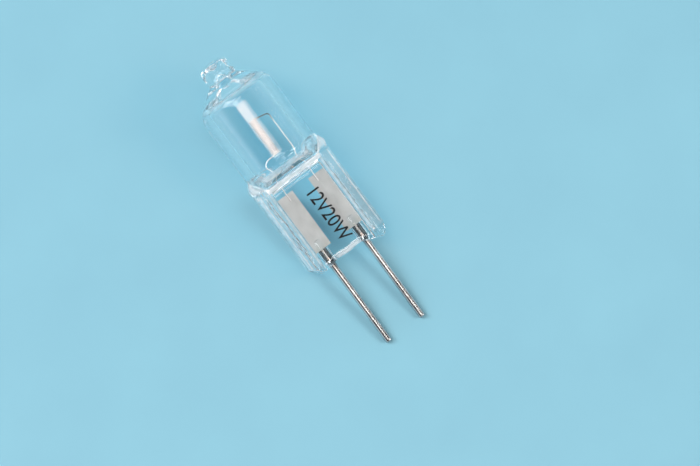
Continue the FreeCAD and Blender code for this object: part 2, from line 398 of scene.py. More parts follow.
class NodeSheet:
    """A material whose nodes are wired one call at a time."""

    def __init__(self, name: str) -> None:
        """Start an empty material.

        Args:
            name: Its name.
        """
        self.material = bpy.data.materials.new(name)
        self.material.use_nodes = True
        self.tree = self.material.node_tree
        self.tree.nodes.clear()
        self.output = self.add("ShaderNodeOutputMaterial")

    def add(self, kind: str, values: dict | None = None, **settings: object) -> bpy.types.Node:
        """Add a node.

        Args:
            kind: Blender's name of the node.
            values: Values set on its input sockets.
            settings: The node's own settings.

        Returns:
            The new node.
        """
        node = self.tree.nodes.new(kind)
        for key, value in settings.items():
            setattr(node, key, value)
        for key, value in (values or {}).items():
            node.inputs[key].default_value = value
        return node

    def join(self, source: bpy.types.NodeSocket, target: bpy.types.NodeSocket) -> None:
        """Wire one socket to another."""
        self.tree.links.new(source, target)

    def noise(self, scale: Triple, detail: float, turn: Triple) -> bpy.types.NodeSocket:
        """A noise over the piece, stretched by a scale along each axis.

        Args:
            scale: Cells per metre along the three axes.
            detail: Depth of the noise.
            turn: Turn of the pattern about the three axes, in radians.

        Returns:
            The noise's value, about 0.5 in the middle.
        """
        place = self.add("ShaderNodeTexCoord")
        mapping = self.add("ShaderNodeMapping", {"Scale": scale, "Rotation": turn})
        texture = self.add("ShaderNodeTexNoise", {"Scale": 1.0, "Detail": detail})
        self.join(place.outputs["Object"], mapping.inputs["Vector"])
        self.join(mapping.outputs["Vector"], texture.inputs["Vector"])
        return texture.outputs["Fac"]

    def remap(self, source: bpy.types.NodeSocket, low: float, high: float) -> bpy.types.NodeSocket:
        """Spread a noise's middle range between two values.

        Args:
            source: The noise.
            low: Value at the low end.
            high: Value at the high end.

        Returns:
            The spread value.
        """
        values = {"From Min": NOISE_LOW, "From Max": NOISE_HIGH, "To Min": low, "To Max": high}
        node = self.add("ShaderNodeMapRange", values)
        self.join(source, node.inputs["Value"])
        return node.outputs["Result"]

    def tint(self, source: bpy.types.NodeSocket, low: Triple, high: Triple) -> bpy.types.NodeSocket:
        """Run the middle range of a noise or another share between two colours.

        Args:
            source: The noise or share.
            low: Colour at the low end.
            high: Colour at the high end.

        Returns:
            The colour.
        """
        ramp = self.add("ShaderNodeValToRGB")
        first, last = ramp.color_ramp.elements
        first.position, last.position = NOISE_LOW, NOISE_HIGH
        first.color, last.color = (*low, 1.0), (*high, 1.0)
        self.join(source, ramp.inputs["Fac"])
        return ramp.outputs["Color"]

    def noted(self, name: str) -> bpy.types.NodeSocket:
        """The share that a note on the piece gives."""
        return self.add("ShaderNodeAttribute", attribute_name=name).outputs["Fac"]

    def stained(self, clean: bpy.types.NodeSocket, stain: Triple) -> bpy.types.NodeSocket:
        """Run a colour towards a stain where the piece's note says so.

        Args:
            clean: The clean colour.
            stain: The stain's colour.

        Returns:
            The colour.
        """
        mix = self.add("ShaderNodeMix", data_type="RGBA")
        colours = [socket for socket in mix.inputs if socket.type == "RGBA"]
        colours[1].default_value = (*stain, 1.0)
        self.join(self.noted(STAIN), mix.inputs["Factor"])
        self.join(clean, colours[0])
        return next(socket for socket in mix.outputs if socket.type == "RGBA")

    def relief(self, source: bpy.types.NodeSocket, strength: float, depth: float) -> bpy.types.NodeSocket:
        """A bump from a noise.

        Args:
            source: The noise.
            strength: Share of the bump that is used.
            depth: Height of the bump in metres.

        Returns:
            The bent normal.
        """
        node = self.add("ShaderNodeBump", {"Strength": strength, "Distance": depth})
        self.join(source, node.inputs["Height"])
        return node.outputs["Normal"]


@dataclass(frozen=True)
class QuartzFinish:
    """Clear fused quartz, fire-polished, with ripples where it was worked, and white scatter in patches that
    paints highlights on it.
    """

    tint: Triple = (0.99, 0.995, 1.0)
    refraction: float = 1.458
    haze_grain: Triple = (420.0, 420.0, 420.0)
    haze_detail: float = 3.0
    haze_low: float = 0.0
    haze_high: float = 0.02
    ripple_lines: Triple = (110.0, 3600.0, 3600.0)
    ripple_detail: float = 1.0
    ripple_depth: float = 0.00005
    # Patches of white scatter: painted highlight where the glass is noted for it
    painted_glint_patches: Triple = (1500.0, 900.0, 1500.0)
    painted_glint_detail: float = 2.0
    painted_glint_most: float = -1.0
    painted_glint_least: float = -0.5
    shade_blend: float = 0.35
    shade_face_on: Triple = (0.88, 0.955, 0.975)
    shade_edge_on: Triple = (0.44, 0.67, 0.76)

    def material(self) -> bpy.types.Material:
        """Wire the glass: it refracts for the eye and lets light through to what lies behind it.

        Returns:
            The material.
        """
        sheet = NodeSheet("clear_quartz")
        looks = {"Base Color": (*self.tint, 1.0), "IOR": self.refraction, "Transmission Weight": 1.0}
        glass = sheet.add("ShaderNodeBsdfPrincipled", looks)
        haze = sheet.noise(self.haze_grain, self.haze_detail, UNTURNED)
        sheet.join(sheet.remap(haze, self.haze_low, self.haze_high), glass.inputs["Roughness"])
        lines = sheet.noise(self.ripple_lines, self.ripple_detail, ALONG_AXIS)
        ripple = sheet.add("ShaderNodeBump", {"Distance": self.ripple_depth})
        sheet.join(sheet.noted(STAIN), ripple.inputs["Strength"])
        sheet.join(lines, ripple.inputs["Height"])
        sheet.join(ripple.outputs["Normal"], glass.inputs["Normal"])
        # Less light goes through where highlights are painted, so those places scatter white
        sheet.join(self.clarity(sheet), glass.inputs["Transmission Weight"])
        edge = sheet.add("ShaderNodeLayerWeight", {"Blend": self.shade_blend})
        clear = sheet.add("ShaderNodeBsdfTransparent")
        path = sheet.add("ShaderNodeLightPath")
        shade = sheet.tint(edge.outputs["Facing"], self.shade_face_on, self.shade_edge_on)
        sheet.join(shade, clear.inputs["Color"])
        seen = glass.outputs["BSDF"]
        for ray in ("Is Shadow Ray", "Is Diffuse Ray"):
            mix = sheet.add("ShaderNodeMixShader")
            sheet.join(path.outputs[ray], mix.inputs["Fac"])
            sheet.join(seen, mix.inputs[1])
            sheet.join(clear.outputs["BSDF"], mix.inputs[2])
            seen = mix.outputs["Shader"]
        sheet.join(seen, sheet.output.inputs["Surface"])
        return sheet.material

    def clarity(self, sheet: NodeSheet) -> bpy.types.NodeSocket:
        """How much of the light goes through the glass: all of it, less the white scatter of the painted
        highlights in their patches.

        Args:
            sheet: The glass's nodes.

        Returns:
            The share.
        """
        patches = sheet.noise(self.painted_glint_patches, self.painted_glint_detail, ALONG_AXIS)
        scatter = sheet.add("ShaderNodeMath", operation="MULTIPLY")
        sheet.join(sheet.noted(PAINTED_GLINT), scatter.inputs[0])
        sheet.join(sheet.remap(patches, self.painted_glint_most, self.painted_glint_least), scatter.inputs[1])
        clarity = sheet.add("ShaderNodeMath", {1: 1.0}, operation="ADD")
        sheet.join(scatter.outputs["Value"], clarity.inputs[0])
        return clarity.outputs["Value"]


@dataclass(frozen=True)
class MetalFinish:
    """A drawn or rolled metal: tone, gloss and fine lines along its length."""

    name: str
    dark: Triple
    light: Triple
    stain: Triple
    smooth: float
    rough: float
    lines: Triple
    relief: float
    metallic: float
    line_detail: float = 4.0
    patches: Triple = (700.0, 900.0, 900.0)
    patch_detail: float = 3.0
    relief_share: float = 0.5

    def material(self) -> bpy.types.Material:
        """Wire the metal.

        Returns:
            The material.
        """
        sheet = NodeSheet(self.name)
        metal = sheet.add("ShaderNodeBsdfPrincipled", {"Metallic": self.metallic})
        lines = sheet.noise(self.lines, self.line_detail, ALONG_AXIS)
        patches = sheet.noise(self.patches, self.patch_detail, ALONG_AXIS)
        clean = sheet.tint(patches, self.dark, self.light)
        sheet.join(sheet.stained(clean, self.stain), metal.inputs["Base Color"])
        sheet.join(sheet.remap(lines, self.smooth, self.rough), metal.inputs["Roughness"])
        sheet.join(sheet.relief(lines, self.relief_share, self.relief), metal.inputs["Normal"])
        sheet.join(metal.outputs["BSDF"], sheet.output.inputs["Surface"])
        return sheet.material


@dataclass(frozen=True)
class PlainFinish:
    """A dull finish whose tone drifts a little, such as ink or paper."""

    name: str
    dark: Triple
    light: Triple
    roughness: float
    grain: float
    relief: float
    specular: float = 0.2
    grain_detail: float = 4.0
    relief_share: float = 0.2

    def material(self) -> bpy.types.Material:
        """Wire the finish.

        Returns:
            The material.
        """
        sheet = NodeSheet(self.name)
        looks = {"Roughness": self.roughness, "Specular IOR Level": self.specular}
        skin = sheet.add("ShaderNodeBsdfPrincipled", looks)
        grain = sheet.noise((self.grain, self.grain, self.grain), self.grain_detail, UNTURNED)
        sheet.join(sheet.tint(grain, self.dark, self.light), skin.inputs["Base Color"])
        sheet.join(sheet.relief(grain, self.relief_share, self.relief), skin.inputs["Normal"])
        sheet.join(skin.outputs["BSDF"], sheet.output.inputs["Surface"])
        return sheet.material


# Marks on the glass: ripples that the pinching jaws left, and white patches that are painted highlights


class Measure(Enum):
    """What tells where on the envelope a place lies.

    PAST_ARM is the distance beyond the slanting inner edge of an ear, OVER_LIP the height over the
    lower end of the pinch, and ROUND_DOME stays the same along a ring on the inside of the dome.
    """

    ACROSS = auto()
    OUTWARD = auto()
    PAST_ARM = auto()
    LEVEL = auto()
    OVER_LIP = auto()
    ROUND_DOME = auto()


@dataclass(frozen=True)
class Stretch:
    """A stretch of one measure, open at an end that isn't given, with a fade inside each end."""

    measure: Measure
    start: float = -math.inf
    end: float = math.inf
    start_fade: float = 1.0
    end_fade: float = 1.0

    def share(self, value: float) -> float:
        """How far inside a value lies: under 0 outside the stretch, and 1 past its fades."""
        return min(1.0, (value - self.start) / self.start_fade, (self.end - value) / self.end_fade)


@dataclass(frozen=True)
class Mark:
    """A mark on the glass, where two stretches cross."""

    strength: float
    first: Stretch
    second: Stretch

    def share(self, measures: dict[Measure, float]) -> float:
        """How strong the mark is at a place, given by its measures."""
        return self.strength * min(part.share(measures[part.measure]) for part in (self.first, self.second))


# Pieces


@dataclass(frozen=True)
class MeltedTip:
    """The exhaust tip, melted shut: its lumps, a fold, a bud and a crown that leans forward."""

    start: float = 20.45
    run: float = 0.5
    lump_height: float = 0.16
    lump_length: float = 0.8
    lump_sink: float = 0.05
    lump_seed: Triple = (3.1, 0.4, 7.7)
    fold_level: float = 21.35
    fold_depth: float = 0.07
    fold_half: float = 0.16
    bud_place: Triple = (1.5, -0.5, 21.0)
    bud_height: float = 0.22
    bud_reach: float = 0.38
    lean: float = -0.15
    lean_start: float = 21.3
    lean_run: float = 0.8

    def shift(self, place: Vector) -> float:
        """How far the tip bulges or sinks at a place on the outside.

        Args:
            place: The place on the even shape.

        Returns:
            Shift along the outward normal.
        """
        reach = clamped((place.z - self.start) / self.run)
        swirl = noise.noise(place / self.lump_length + Vector(self.lump_seed))
        lump = self.lump_height * swirl - self.lump_sink
        fold = -self.fold_depth * math.exp(-(((place.z - self.fold_level) / self.fold_half) ** 2))
        bud_distance = (place - Vector(self.bud_place)).length
        bud = self.bud_height * math.exp(-((bud_distance / self.bud_reach) ** 2))
        return reach * (lump + fold + bud)

    def slant(self, level: float) -> float:
        """How far the crown leans forward at a level, per millimetre of depth."""
        return self.lean * clamped((level - self.lean_start) / self.lean_run)


@dataclass(frozen=True)
class SealedSpace:
    """The space in the quartz: a slot at its floor, the bore, the dome and the exhaust bore."""

    half_width: tuple[Point, ...] = ((10.3, 2.62), (10.6, 2.85), (11.0, 2.96), (11.6, 3.0))
    half_depth: tuple[Point, ...] = (
        (10.3, 0.75), (10.5, 1.5), (10.7, 2.1), (10.95, 2.62), (11.25, 2.93), (11.6, 3.0)
    )
    bore_radius: float = 3.0
    dome_corner: Triple = (3.0, 18.65, 0.7)
    exhaust: tuple[Triple, ...] = (
        (0.75, 19.5, 0.3), (0.72, 20.45, 0.12), (0.36, 20.7, 0.1), (0.44, 20.95, 0.12), (0.05, 21.3, 0.0)
    )
    floor_round: float = 0.2
    floor_steps: int = 6
    slot_steps: int = 26
    round_steps: int = 10
    longest_run: float = 0.3
    points: int = 120
    wave: float = 0.002
    wave_length: float = 0.9
    wave_seed: Triple = (9.0, 2.0, 5.0)
    melt_wave: float = 0.22
    melt_start: float = 20.2
    melt_run: float = 0.4

    def sections(self) -> list[Triple]:
        """Half width, half depth and height of the sections.

        Returns:
            Sections from the floor up.
        """
        floor, slot_top = self.half_depth[0][0], self.half_depth[-1][0]
        sections = []
        for swing in spread(0.0, math.pi / 2, self.floor_steps):
            drawn_in = self.floor_round * (1 - math.sin(swing))
            wide = self.half_width[0][1] - drawn_in
            deep = self.half_depth[0][1] - drawn_in
            sections.append((wide, deep, floor - self.floor_round * math.cos(swing)))
        for level in spread(floor, slot_top, self.slot_steps):
            wide = smooth_curve(self.half_width, level)
            sections.append((wide, smooth_curve(self.half_depth, level), level))
        corners = ((self.bore_radius, slot_top, 0.0), self.dome_corner, *self.exhaust)
        profile = fill_in(rounded_profile(corners, self.round_steps), self.longest_run)
        return sections + [(radius, radius, level) for radius, level in profile]

    def rings(self) -> list[Ring]:
        """The sections as rings, with the small waves that hot glass keeps.

        Returns:
            Rings of equal length.
        """
        rings = []
        for wide, deep, level in self.sections():
            height = self.wave + self.melt_wave * clamped((level - self.melt_start) / self.melt_run)
            ring = []
            for x, y in ellipse(wide, deep, self.points):
                place = Vector((x, y, level)) / self.wave_length + Vector(self.wave_seed)
                wave = 1 + height * noise.noise(place)
                ring.append(Vector((x * wave, y * wave, level)))
            rings.append(ring)
        return rings


@dataclass
class QuartzEnvelope:
    """The blown and pinched quartz: tube, dome, melted tip, shoulder with ears, and the pinch."""

    bench: Bench
    space: SealedSpace = SealedSpace()
    tip: MeltedTip = MeltedTip()
    pinch_half_width: float = 4.3
    pinch_half_depth: float = 1.7
    pinch_height: float = 9.2
    pinch_finer_from: float = 8.5
    pinch_steps: int = 24
    pinch_finer_steps: int = 14
    corner_width: float = 0.95
    corner_depth: float = 0.7
    corner_steps: int = 16
    side_steps: int = 8
    # Where each row of points on the face ends, and how many points it has
    face_rows: tuple[tuple[float, int], ...] = ((2.75, 18), (2.3, 5), (0.0, 18))
    web_half_width: float = 2.85
    web_depth: float = 0.6
    web_wall_run: float = 0.4
    web_corner: float = 0.25
    web_top: float = 9.55
    web_crest_run: float = 0.6
    web_softness: float = 0.12
    mouth: tuple[Point, ...] = (
        (-4.3, 0.95), (-3.85, 0.55), (-3.35, 0.16), (-2.4, 0.1), (-1.4, 0.33), (0.0, 0.25),
        (1.3, 0.33), (2.2, 0.02), (3.0, -0.33), (3.6, -0.42), (4.05, -0.12), (4.3, 0.5),
    )
    mouth_reach: float = 2.5
    mouth_round: float = 0.32
    mouth_round_steps: int = 7
    shoulder_height: float = 2.3
    shoulder_steps: int = 33
    shoulder_foot_half_width: float = 3.25
    shoulder_spread: float = 0.55
    shoulder_squareness: float = 2.6
    swell_start: float = 0.1
    ear_half_width: tuple[Point, ...] = (
        (0.0, 4.28), (0.26, 4.29), (0.4, 4.4), (0.5, 4.42), (0.62, 4.37), (0.9, 4.02), (1.0, 3.8)
    )
    ear_thinning: float = 0.45
    ear_thin_from: float = 0.3
    crease_round: float = 0.035
    crease_limits: Point = (-20.0, 500.0)
    tube_radius: float = 4.0
    dome_corner: Triple = (4.0, 18.775, 2.0)
    tip_corners: tuple[Triple, ...] = ((1.5, 20.72, 0.22), (1.53, 22.42, 0.5), (0.08, 22.46, 0.0))
    round_steps: int = 14
    longest_run: float = 0.22
    # Height and length of each wave on the outside
    waves: tuple[Point, ...] = ((0.004, 1.9), (0.0015, 0.6))
    skin_inset: float = 0.01
    arm_foot: Point = (2.85, 9.26)
    arm_outward: Point = (0.831, -0.557)
    jaw_ripple: Mark = Mark(
        1.0,
        Stretch(Measure.OUTWARD, start=2.95, start_fade=0.3),
        Stretch(Measure.LEVEL, end=11.3, end_fade=0.3),
    )
    # The white marks from here on are painted highlights: white scatter in place of bright refracted lines
    white_crest: Mark = Mark(
        1.0, Stretch(Measure.ACROSS, -3.2, 3.2, 0.15, 0.15), Stretch(Measure.LEVEL, 9.1, 9.65, 0.1, 0.1)
    )
    white_floor: Mark = Mark(
        0.4, Stretch(Measure.ACROSS, -3.0, 2.6, 0.3, 0.3), Stretch(Measure.LEVEL, 10.1, 10.84, 0.14, 0.14)
    )
    white_ears: Mark = Mark(
        0.45,
        Stretch(Measure.PAST_ARM, start=0.0, start_fade=0.1),
        Stretch(Measure.LEVEL, 9.7, 11.2, 0.3, 0.2),
    )
    white_arms: Mark = Mark(
        0.75, Stretch(Measure.PAST_ARM, -0.12, 0.12, 0.08, 0.08), Stretch(Measure.LEVEL, 9.2, 11.2, 0.1, 0.2)
    )
    white_walls: Mark = Mark(
        0.55, Stretch(Measure.OUTWARD, 2.86, 3.18, 0.09, 0.09), Stretch(Measure.LEVEL, 0.4, 9.3, 0.4, 0.2)
    )
    white_edges: Mark = Mark(
        0.6, Stretch(Measure.OUTWARD, 3.88, 4.08, 0.06, 0.06), Stretch(Measure.LEVEL, 0.7, 9.6, 0.4, 0.3)
    )
    white_rails: Mark = Mark(
        0.14, Stretch(Measure.OUTWARD, start=3.0, start_fade=0.2), Stretch(Measure.LEVEL, 0.5, 9.6, 0.4, 0.3)
    )
    white_lip: Mark = Mark(
        0.7, Stretch(Measure.OVER_LIP, end=0.42, end_fade=0.2), Stretch(Measure.ACROSS, -1.55, 1.55, 0.5, 0.5)
    )
    white_dome: Mark = Mark(
        0.75,
        Stretch(Measure.ROUND_DOME, 21.4, 21.7, 0.12, 0.12),
        Stretch(Measure.LEVEL, start=18.3, start_fade=0.2),
    )

    def build(self) -> bpy.types.Object:
        """Model the envelope with its sealed space and the gaps round the pins.

        Returns:
            The standing envelope.
        """
        piece = self.bench.loft("quartz_body", self.outer_rings(), start_web=True, end_pole=True)
        for side in Side:
            hole = Pin(self.bench, side).hole()
            self.bench.apply(piece, "BOOLEAN", object=hole, operation="DIFFERENCE", solver="EXACT")
            bpy.data.objects.remove(hole)
        space = self.bench.loft("sealed_space", self.space.rings(), start_web=True, end_pole=True)
        self.bench.stain(piece, self.marked(self.jaw_ripple))
        whites = (
            self.white_crest, self.white_floor, self.white_ears, self.white_arms,
            self.white_walls, self.white_edges, self.white_rails, self.white_lip,
        )
        # Paint highlights as white scatter on the outside, and on the inside of the dome
        self.bench.stain(piece, self.marked(*whites), PAINTED_GLINT)
        self.bench.stain(space, self.marked(self.white_dome), PAINTED_GLINT)
        self.bench.take(space)
        bpy.ops.object.mode_set(mode="EDIT")
        bpy.ops.mesh.select_all(action="SELECT")
        bpy.ops.mesh.flip_normals()
        self.bench.join(piece, space)
        return piece

    def measures(self, place: Vector) -> dict[Measure, float]:
        """Every measure of a place on the standing envelope.

        Args:
            place: The place.

        Returns:
            The measures.
        """
        outward = abs(place.x)
        foot_x, foot_z = self.arm_foot
        lean_x, lean_z = self.arm_outward
        return {
            Measure.ACROSS: place.x,
            Measure.OUTWARD: outward,
            Measure.PAST_ARM: (outward - foot_x) * lean_x + (place.z - foot_z) * lean_z,
            Measure.LEVEL: place.z,
            Measure.OVER_LIP: place.z - smooth_curve(self.mouth, place.x),
            Measure.ROUND_DOME: math.hypot(place.x, place.y) + place.z,
        }

    def marked(self, *marks: Mark) -> Callable[[Vector], float]:
        """A rule that gives the strongest of some marks at a place.

        Args:
            marks: The marks.

        Returns:
            The rule.
        """

        def rule(place: Vector) -> float:
            """The strongest mark at a place."""
            measures = self.measures(place)
            return max(mark.share(measures) for mark in marks)

        return rule

    def block_quarter(self) -> list[Point]:
        """A quarter of the pinch's full section, from the middle of its side to its middle.

        Returns:
            Points in the order of their bearing.
        """
        corner_level = self.pinch_half_depth - self.corner_depth
        start = corner_start = self.pinch_half_width - self.corner_width
        points = [(self.pinch_half_width, y) for y in spread(0.0, corner_level, self.side_steps)]
        for angle in spread(0.0, math.pi / 2, self.corner_steps):
            x = corner_start + self.corner_width * math.cos(angle)
            points.append((x, corner_level + self.corner_depth * math.sin(angle)))
        for end, steps in self.face_rows:
            points += [(x, self.pinch_half_depth) for x in spread(start, end, steps)]
            start = end
        return points + [(0.0, self.pinch_half_depth)]

    @staticmethod
    def full_turn(quarter: Sequence[Point]) -> list[Point]:
        """Mirror a quarter outline to a closed one.

        Args:
            quarter: Points from the +X side to the +Y side.

        Returns:
            The closed outline, turning from +X to +Y.
        """
        back_left = [(-x, y) for x, y in reversed(quarter[:-1])]
        back = list(quarter) + back_left
        front = [(x, -y) for x, y in reversed(back[1:-1])]
        return back + front

    def web_press(self, x: float, level: float) -> float:
        """How deep the pinching jaws pressed the web at a place on the pinch's face.

        Args:
            x: Place across the pinch.
            level: Place up the pinch.

        Returns:
            Depth below the face.
        """
        round_off = self.web_corner + self.web_wall_run
        over_x = abs(x) - (self.web_half_width + self.web_wall_run - round_off)
        over_z = round_off + (level - self.web_top) * self.web_wall_run / self.web_crest_run
        if over_x > 0 and over_z > 0:
            inside = round_off - math.hypot(over_x, over_z)
        else:
            inside = round_off - max(over_x, over_z)
        return self.web_depth * soft_ramp(inside / self.web_wall_run, self.web_softness)

    @staticmethod
    def shifted(outline: Sequence[Point], shifts: Sequence[float]) -> list[Point]:
        """Move an outline's points along its outward normals.

        Args:
            outline: Closed outline that turns from +X to +Y.
            shifts: How far each point moves.

        Returns:
            The moved outline.
        """
        moved = []
        for i, (x, y) in enumerate(outline):
            ahead = outline[(i + 1) % len(outline)]
            along = Vector(ahead) - Vector(outline[i - 1])
            normal = Vector((along.y, -along.x)).normalized()
            moved.append((x + normal.x * shifts[i], y + normal.y * shifts[i]))
        return moved

    def worked(self, outline: Sequence[Point], levels: Sequence[float], inset: float) -> Ring:
        """Make a ring of an outline, with the small waves that hot glass keeps.

        Args:
            outline: Closed outline across the axis.
            levels: Height of each point.
            inset: How far the whole outline is drawn in.

        Returns:
            The ring.
        """
        shifts = []
        for (x, y), level in zip(outline, levels):
            place = Vector((x, y, level))
            wave = sum(height * noise.noise(place / length) for height, length in self.waves)
            shifts.append(wave - self.skin_inset - inset + self.tip.shift(place))
        moved = self.shifted(outline, shifts)
        return [Vector((x, y, level)) for (x, y), level in zip(moved, levels)]

    def outer_rings(self) -> list[Ring]:
        """The outside, from the mouth of the pinch up to the melted tip.

        Returns:
            Rings of equal length.
        """
        block = self.full_turn(self.block_quarter())
        rings = []
        for swing in spread(0.0, math.pi / 2, self.mouth_round_steps):
            height = self.mouth_round * (1 - math.cos(swing))
            rings.append(self.pinch_ring(block, height, self.mouth_round * (1 - math.sin(swing))))
        levels = spread(self.mouth_round, self.pinch_finer_from, self.pinch_steps)
        levels += spread(self.pinch_finer_from, self.pinch_height, self.pinch_finer_steps)
        rings += [self.pinch_ring(block, level, 0.0) for level in levels]
        top = self.pinch_height + self.shoulder_height
        for level in spread(self.pinch_height, top, self.shoulder_steps):
            rings.append(self.shoulder_ring(block, level))
        round_points = [Vector(point).normalized() for point in self.ear_outline(block, 1.0)]
        corners = ((self.tube_radius, top, 0.0), self.dome_corner, *self.tip_corners)
        for radius, level in fill_in(rounded_profile(corners, self.round_steps), self.longest_run):
            circle = [tuple(point * radius) for point in round_points]
            levels = [level + self.tip.slant(level) * y for _, y in circle]
            rings.append(self.worked(circle, levels, 0.0))
        return rings

    def pinch_ring(self, block: Sequence[Point], height: float, inset: float) -> Ring:
        """A ring of the pinch with its pressed web.

        Args:
            block: Outline of the full section.
            height: Height above the pinch's lower end.
            inset: How far the outline is drawn in.

        Returns:
            The ring.
        """
        fade = max(0.0, 1 - height / self.mouth_reach)
        levels = [height + smooth_curve(self.mouth, x) * fade for x, _ in block]
        return self.worked(self.pressed(block, levels), levels, inset)

    def pressed(self, outline: Sequence[Point], levels: Sequence[float]) -> list[Point]:
        """An outline of the pinch after its web was pressed in.

        Args:
            outline: Outline of the full section.
            levels: Height of each point.

        Returns:
            The pressed outline.
        """
        corner_level = self.pinch_half_depth - self.corner_depth
        pressed = []
        for (x, y), level in zip(outline, levels):
            share = clamped((abs(y) - corner_level) / self.corner_depth)
            depth = self.web_press(x, level) * share
            pressed.append((x, y - math.copysign(depth, y)))
        return pressed

    def ear_outline(self, block: Sequence[Point], share: float) -> list[Point]:
        """The pinch's outline carried up the shoulder, where it ends in two thin ears.

        Args:
            block: Outline of the pinch's full section.
            share: Place on the shoulder, from 0 at its foot to 1 at its top.

        Returns:
            The outline.
        """
        wide = smooth_curve(self.ear_half_width, share) / self.pinch_half_width
        thin = 1 - self.ear_thinning * max(0.0, share - self.ear_thin_from) / (1 - self.ear_thin_from)
        return [(x * wide, y * thin) for x, y in block]

    def shoulder_ring(self, block: Sequence[Point], level: float) -> Ring:
        """A ring of the shoulder: the round tube as it swells out between the ears.

        Args:
            block: Outline of the pinch's full section.
            level: Height of the ring.

        Returns:
            The ring.
        """
        share = (level - self.pinch_height) / self.shoulder_height
        ease = eased(share)
        spread_out = math.sin(math.pi / 2 * min(1.0, share / self.shoulder_spread))
        foot = self.shoulder_foot_half_width
        wide = foot + (self.tube_radius - foot) * spread_out
        start = self.pinch_half_depth - self.web_depth * max(0.0, 1 - share / self.swell_start)
        deep = start + (self.tube_radius - start) * ease
        power = 2 + self.shoulder_squareness * (1 - ease)
        lowest, highest = self.crease_limits
        levels = [level] * len(block)
        outline = []
        for x, y in self.pressed(self.ear_outline(block, share), levels):
            ear = math.hypot(x, y)
            swell = (abs(x / ear / wide) ** power + abs(y / ear / deep) ** power) ** (-1 / power)
            over = max(lowest, min(highest, (swell - ear) / self.crease_round))
            reach = ear + self.crease_round * soft_bend(over, 1.0)
            outline.append((x * reach / ear, y * reach / ear))
        return self.worked(outline, levels, 0.0)


@dataclass
class Pin:
    """A bare round pin, its inner end pressed flat."""

    bench: Bench
    side: Side
    offset: float = 2.0
    radius: float = 0.35
    free_length: float = 9.0
    # How much slimmer each section of the tip is, and how far it lies from the tip's end
    tip_round: tuple[Point, ...] = ((0.1, 0.0), (0.07, 0.015), (0.03, 0.05), (0.008, 0.09), (0.0, 0.14))
    shank_start: float = 0.3
    shank_steps: int = 24
    wear: float = 0.004
    wear_pace: float = 0.37
    wear_seed: Point = (4.0, 0.3)
    wear_inset: float = 0.003
    press_start: float = 0.1
    press_steps: int = 8
    flat_start: float = 0.7
    flat_levels: tuple[float, ...] = (1.3, 2.0)
    flat_half_width: float = 0.475
    flat_half_depth: float = 0.2
    seat_depth: float = 2.9
    # How much narrower and thinner each section of the inner end is, and how far it lies from that end
    end_bevel: tuple[Triple, ...] = ((0.0, 0.0, 0.1), (0.02, 0.03, 0.03), (0.08, 0.08, 0.0))
    glass_gap: float = 0.1
    hole_overrun: float = 0.6
    hole_flare: float = 0.12
    points: int = 48
    heat_reach: float = 0.5
    heat_fade: float = 0.8
    tarnish: float = 0.5
    tarnish_start: float = 1.0
    darkening_run: float = 8.0

    def sections(self, gap: float) -> list[Triple]:
        """Half width, half depth and height of the sections inside the glass.

        Args:
            gap: How much larger than the pin they are.

        Returns:
            Sections from the mouth to the inner end.
        """
        sections = []
        for i in range(self.press_steps + 1):
            share = i / self.press_steps
            wide = self.radius + (self.flat_half_width - self.radius) * eased(share)
            deep = self.radius + (self.flat_half_depth - self.radius) * eased(share)
            level = self.press_start + (self.flat_start - self.press_start) * share
            sections.append((wide + gap, deep + gap, level))
        end = self.seat_depth + gap
        wide, deep = self.flat_half_width + gap, self.flat_half_depth + gap
        sections += [(wide, deep, level) for level in self.flat_levels]
        return sections + [(wide - a, deep - b, end - below) for a, b, below in self.end_bevel]

    def rings(self, sections: Sequence[Triple]) -> list[Ring]:
        """Rings of the pin's sections at its own place.

        Args:
            sections: Half width, half depth and height of each section.

        Returns:
            Rings of equal length.
        """
        centre = self.side.value * self.offset
        rings = []
        for wide, deep, level in sections:
            rings.append([Vector((centre + x, y, level)) for x, y in ellipse(wide, deep, self.points)])
        return rings

    def hole(self) -> bpy.types.Object:
        """The gap that the glass leaves round the pin, as a cutter.

        Returns:
            The standing cutter.
        """
        start = self.radius + self.glass_gap
        flare = start + self.hole_flare
        sections = [(flare, flare, -self.hole_overrun), (start, start, -self.press_start)]
        sections += self.sections(self.glass_gap)
        return self.bench.loft("pin_gap", self.rings(sections), start_web=False, end_pole=False)

    def build(self) -> bpy.types.Object:
        """Model the pin from its cut tip to its pressed end.

        Returns:
            The standing pin.
        """
        tip = -self.free_length
        sections = [(self.radius - size, self.radius - size, tip + rise) for size, rise in self.tip_round]
        for i, level in enumerate(spread(tip + self.shank_start, 0.0, self.shank_steps)):
            place = Vector((self.side.value * self.wear_seed[0], self.wear_seed[1], i * self.wear_pace))
            worn = self.radius + self.wear * noise.noise(place) - self.wear_inset
            sections.append((worn, worn, level))
        sections += self.sections(0.0)
        name = f"{self.side.name.lower()}_contact_pin"
        piece = self.bench.loft(name, self.rings(sections), start_web=False, end_pole=False)
        self.bench.stain(piece, self.darkened)
        return piece

    def darkened(self, place: Vector) -> float:
        """How dark a place on the pin is, by the heat of the seal or by tarnish towards its tip."""
        heat = (place.z + self.heat_reach) / self.heat_fade
        return max(heat, self.tarnish * (-place.z - self.tarnish_start) / self.darkening_run)


